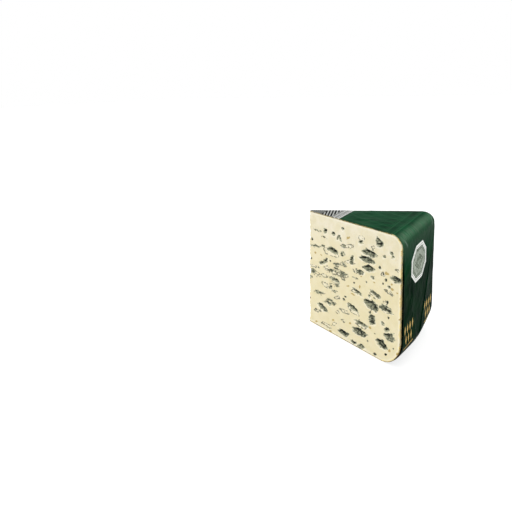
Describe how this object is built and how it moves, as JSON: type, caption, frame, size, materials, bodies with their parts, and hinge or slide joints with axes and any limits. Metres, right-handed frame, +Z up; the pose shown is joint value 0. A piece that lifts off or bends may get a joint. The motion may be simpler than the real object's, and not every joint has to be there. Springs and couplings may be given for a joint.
{
  "type": "blue cheese wedge",
  "caption": "Wedge cut from an eight-sided wheel of blue cheese: two flat veined cut faces meet at a sharp tip, and foil wraps the top, the outer side and the base.",
  "frame": {"origin": "on the surface the wedge stands on, halfway between the tip and the wrapped side, on its line of symmetry", "axes": "+X from the tip to the wrapped side, +Y towards the back cut face, +Z up along the wheel's axis"},
  "size_m": [0.0855, 0.07, 0.088],
  "materials": {
    "paste": "moist, crumbly ivory paste with grey-green veins",
    "wrap": "dark green printed foil, satin"
  },
  "bodies": {
    "root": {"paste": "paste", "wrap": "wrap"}
  },
  "joints": []
}
